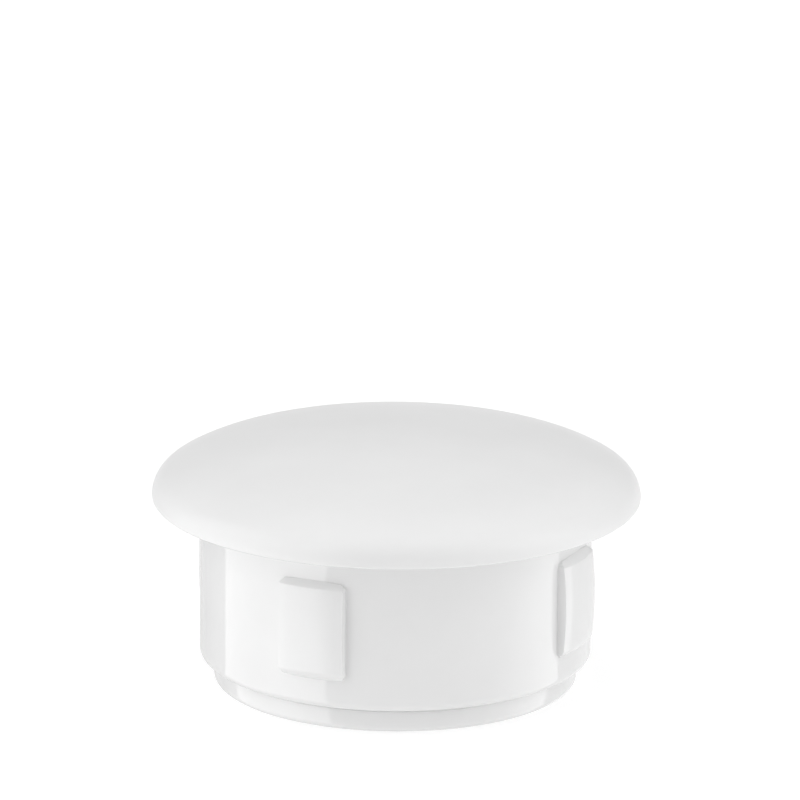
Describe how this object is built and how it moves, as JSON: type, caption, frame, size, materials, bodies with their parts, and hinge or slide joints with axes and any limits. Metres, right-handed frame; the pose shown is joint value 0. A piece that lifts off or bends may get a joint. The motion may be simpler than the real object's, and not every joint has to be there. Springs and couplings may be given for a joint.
{
  "type": "plastic hole plug",
  "caption": "Round snap-in plastic hole plug: smoothly domed cap with a rounded rim, hollow barrel open below, crowned snap nubs and a stepped lead-in ring.",
  "frame": {"origin": "on the plug's axis, in the plane of the rim's flat underside, which seats on the panel", "axes": "+Z along the axis towards the cap; one snap nub points along each of +X, +Y, -X and -Y"},
  "size_m": [0.0308, 0.0308, 0.016],
  "materials": {
    "white_plastic": "white moulded plastic, satin on the cap and the nub faces, glossy on the barrel and the ring"
  },
  "bodies": {
    "root": {"hole_plug": "white_plastic"}
  },
  "joints": []
}
